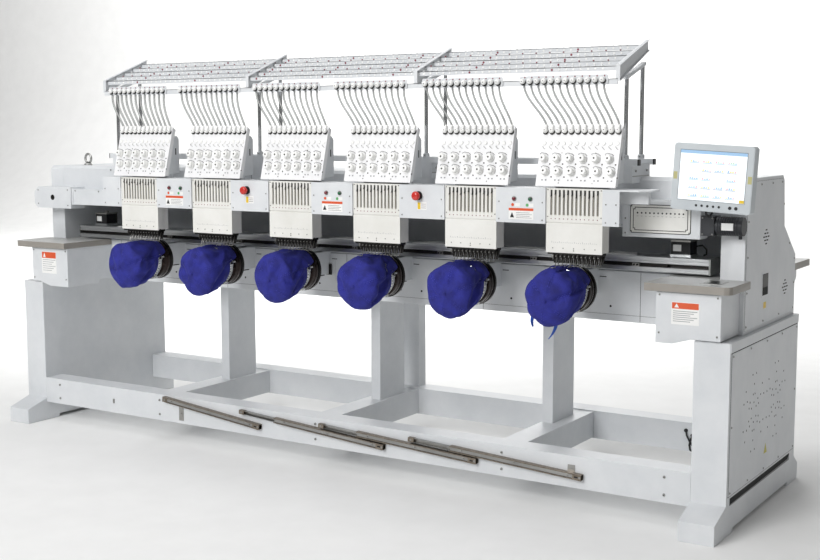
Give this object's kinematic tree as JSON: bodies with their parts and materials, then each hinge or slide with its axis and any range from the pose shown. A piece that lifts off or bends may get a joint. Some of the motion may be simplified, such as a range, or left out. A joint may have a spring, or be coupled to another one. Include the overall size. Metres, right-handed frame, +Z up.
{
  "type": "multi-head embroidery machine",
  "caption": "Multi-head cap embroidery machine on a steel stand: sliding needle cases, cap frames on a moving rail, thread rack, worktops and tilting panel",
  "frame": {"origin": "on the floor under the middle of the bounding box, cord not counted", "axes": "+X to the operator's right along the row of heads, -Y toward the operator, +Z up"},
  "size_m": [3.4204, 1.15, 1.6505],
  "materials": {
    "white_paint": "satin powder coat",
    "warm_white_paint": "satin",
    "table_laminate": "satin laminate",
    "aluminium": "drawn",
    "bright_steel": "polished",
    "stay_steel": "galvanised, brownish",
    "black_steel": "semi-gloss",
    "black_plastic": "matte",
    "grey_plastic": "satin",
    "blue_cloth": "cotton twill",
    "red_plastic": "gloss",
    "green_plastic": "gloss",
    "black_cord": "matte"
  },
  "bodies": {
    "frame": {"stand_frame": "white_paint", "stand_end_left": "white_paint", "stand_end_right": "white_paint", "machine_bed": "white_paint", "upper_beam": "white_paint", "column_left": "white_paint", "column_right": "white_paint", "side_table_left": "table_laminate", "side_table_right": "table_laminate", "rear_table": "table_laminate", "colour_change_box": "warm_white_paint", "colour_change_motor": "black_plastic", "rack_grid": "aluminium", "rack_stanchion_1": "bright_steel", "rack_stanchion_2": "bright_steel", "rack_stanchion_3": "bright_steel", "rack_stanchion_4": "bright_steel", "mains_cord": "black_cord", "mains_coil": "black_cord", "mains_plug": "black_plastic"},
    "head_carriage": {"switch_panel_strip": "white_paint", "needle_case_1": "warm_white_paint", "needle_case_2": "warm_white_paint", "needle_case_3": "warm_white_paint", "needle_case_4": "warm_white_paint", "needle_case_5": "warm_white_paint", "needle_case_6": "warm_white_paint"},
    "needle_bar_1": {"needle_bar_1": "bright_steel"},
    "needle_bar_2": {"needle_bar_2": "bright_steel"},
    "needle_bar_3": {"needle_bar_3": "bright_steel"},
    "needle_bar_4": {"needle_bar_4": "bright_steel"},
    "needle_bar_5": {"needle_bar_5": "bright_steel"},
    "needle_bar_6": {"needle_bar_6": "bright_steel"},
    "pantograph": {"pantograph_beam": "aluminium"},
    "drive_bar": {"cap_drive_bar": "black_steel"},
    "cap_frame_1": {"cap_ring_1": "black_steel", "cap_1": "blue_cloth"},
    "cap_frame_2": {"cap_ring_2": "black_steel", "cap_2": "blue_cloth"},
    "cap_frame_3": {"cap_ring_3": "black_steel", "cap_3": "blue_cloth"},
    "cap_frame_4": {"cap_ring_4": "black_steel", "cap_4": "blue_cloth"},
    "cap_frame_5": {"cap_ring_5": "black_steel", "cap_5": "blue_cloth"},
    "cap_frame_6": {"cap_ring_6": "black_steel", "cap_6": "blue_cloth"},
    "operation_panel": {"monitor": "grey_plastic"},
    "stop_button_1": {"stop_button_1": "red_plastic"},
    "start_button_1": {"start_button_1": "green_plastic"},
    "stop_button_2": {"stop_button_2": "red_plastic"},
    "start_button_2": {"start_button_2": "green_plastic"},
    "stop_button_3": {"stop_button_3": "red_plastic"},
    "start_button_3": {"start_button_3": "green_plastic"},
    "emergency_stop_1": {"emergency_stop_1": "red_plastic"},
    "emergency_stop_2": {"emergency_stop_2": "red_plastic"},
    "table_stay_1": {"table_stay_1": "stay_steel"},
    "table_stay_2": {"table_stay_2": "stay_steel"},
    "table_stay_3": {"table_stay_3": "stay_steel"},
    "table_stay_4": {"table_stay_4": "stay_steel"}
  },
  "joints": [
    {"name": "colour_change", "type": "slide", "parent": "frame", "child": "head_carriage", "axis": [1, 0, 0], "range_m": [-0.17, 0]},
    {"name": "needle_1", "type": "slide", "parent": "head_carriage", "child": "needle_bar_1", "axis": [0, 0, 1], "range_m": [-0.028, 0]},
    {"name": "needle_2", "type": "slide", "parent": "head_carriage", "child": "needle_bar_2", "axis": [0, 0, 1], "range_m": [-0.0285, 0.0005]},
    {"name": "needle_3", "type": "slide", "parent": "head_carriage", "child": "needle_bar_3", "axis": [0, 0, 1], "range_m": [-0.0285, 0.0005]},
    {"name": "needle_4", "type": "slide", "parent": "head_carriage", "child": "needle_bar_4", "axis": [0, 0, 1], "range_m": [-0.0285, 0.0005]},
    {"name": "needle_5", "type": "slide", "parent": "head_carriage", "child": "needle_bar_5", "axis": [0, 0, 1], "range_m": [-0.0285, 0.0005]},
    {"name": "needle_6", "type": "slide", "parent": "head_carriage", "child": "needle_bar_6", "axis": [0, 0, 1], "range_m": [-0.0285, 0.0005]},
    {"name": "pantograph_y", "type": "slide", "parent": "frame", "child": "pantograph", "axis": [0, 1, 0], "range_m": [-0.067, 0.008]},
    {"name": "pantograph_x", "type": "slide", "parent": "pantograph", "child": "drive_bar", "axis": [1, 0, 0], "range_m": [-0.12, 0.12]},
    {"name": "cap_turn_1", "type": "hinge", "parent": "pantograph", "child": "cap_frame_1", "pos_m": [-0.96066, -0.36425, 0.777], "axis": [0, 1, 0], "range_deg": [-90, 90]},
    {"name": "cap_turn_2", "type": "hinge", "parent": "pantograph", "child": "cap_frame_2", "pos_m": [-0.56066, -0.36425, 0.777], "axis": [0, 1, 0], "range_deg": [-90, 90]},
    {"name": "cap_turn_3", "type": "hinge", "parent": "pantograph", "child": "cap_frame_3", "pos_m": [-0.16066, -0.36425, 0.777], "axis": [0, 1, 0], "range_deg": [-90, 90]},
    {"name": "cap_turn_4", "type": "hinge", "parent": "pantograph", "child": "cap_frame_4", "pos_m": [0.23934, -0.36425, 0.777], "axis": [0, 1, 0], "range_deg": [-90, 90]},
    {"name": "cap_turn_5", "type": "hinge", "parent": "pantograph", "child": "cap_frame_5", "pos_m": [0.63934, -0.36425, 0.777], "axis": [0, 1, 0], "range_deg": [-90, 90]},
    {"name": "cap_turn_6", "type": "hinge", "parent": "pantograph", "child": "cap_frame_6", "pos_m": [1.03934, -0.36425, 0.777], "axis": [0, 1, 0], "range_deg": [-90, 90]},
    {"name": "panel_tilt", "type": "hinge", "parent": "frame", "child": "operation_panel", "pos_m": [1.57184, -0.377, 1.13], "axis": [1, 0, 0], "range_deg": [-25, 20]},
    {"name": "stop_button_1_press", "type": "slide", "parent": "head_carriage", "child": "stop_button_1", "axis": [0, 1, 0], "range_m": [0, 0.004], "stiffness_N_per_m": 300},
    {"name": "start_button_1_press", "type": "slide", "parent": "head_carriage", "child": "start_button_1", "axis": [0, 1, 0], "range_m": [0, 0.004], "stiffness_N_per_m": 300},
    {"name": "stop_button_2_press", "type": "slide", "parent": "head_carriage", "child": "stop_button_2", "axis": [0, 1, 0], "range_m": [0, 0.004], "stiffness_N_per_m": 300},
    {"name": "start_button_2_press", "type": "slide", "parent": "head_carriage", "child": "start_button_2", "axis": [0, 1, 0], "range_m": [0, 0.004], "stiffness_N_per_m": 300},
    {"name": "stop_button_3_press", "type": "slide", "parent": "head_carriage", "child": "stop_button_3", "axis": [0, 1, 0], "range_m": [0, 0.004], "stiffness_N_per_m": 300},
    {"name": "start_button_3_press", "type": "slide", "parent": "head_carriage", "child": "start_button_3", "axis": [0, 1, 0], "range_m": [0, 0.004], "stiffness_N_per_m": 300},
    {"name": "emergency_stop_1_press", "type": "slide", "parent": "head_carriage", "child": "emergency_stop_1", "axis": [0, 1, 0], "range_m": [0, 0.004], "stiffness_N_per_m": 400},
    {"name": "emergency_stop_2_press", "type": "slide", "parent": "head_carriage", "child": "emergency_stop_2", "axis": [0, 1, 0], "range_m": [0, 0.004], "stiffness_N_per_m": 400},
    {"name": "stay_1_swing", "type": "hinge", "parent": "frame", "child": "table_stay_1", "pos_m": [-0.29916, -0.4405, 0.128], "axis": [0, 0, 1], "range_deg": [0, 90]},
    {"name": "stay_2_swing", "type": "hinge", "parent": "frame", "child": "table_stay_2", "pos_m": [0.30984, -0.4405, 0.127], "axis": [0, 0, 1], "range_deg": [0, 90]},
    {"name": "stay_3_swing", "type": "hinge", "parent": "frame", "child": "table_stay_3", "pos_m": [0.71784, -0.4405, 0.13], "axis": [0, 0, 1], "range_deg": [0, 90]},
    {"name": "stay_4_swing", "type": "hinge", "parent": "frame", "child": "table_stay_4", "pos_m": [1.13784, -0.4405, 0.13], "axis": [0, 0, 1], "range_deg": [0, 90]}
  ],
  "couplings": [
    {"joint": "needle_2", "follows": "needle_1", "ratio": 1},
    {"joint": "needle_3", "follows": "needle_1", "ratio": 1},
    {"joint": "needle_4", "follows": "needle_1", "ratio": 1},
    {"joint": "needle_5", "follows": "needle_1", "ratio": 1},
    {"joint": "needle_6", "follows": "needle_1", "ratio": 1},
    {"joint": "cap_turn_1", "follows": "pantograph_x", "rad_per_m": 13},
    {"joint": "cap_turn_2", "follows": "pantograph_x", "rad_per_m": 13},
    {"joint": "cap_turn_3", "follows": "pantograph_x", "rad_per_m": 13},
    {"joint": "cap_turn_4", "follows": "pantograph_x", "rad_per_m": 13},
    {"joint": "cap_turn_5", "follows": "pantograph_x", "rad_per_m": 13},
    {"joint": "cap_turn_6", "follows": "pantograph_x", "rad_per_m": 13}
  ]
}
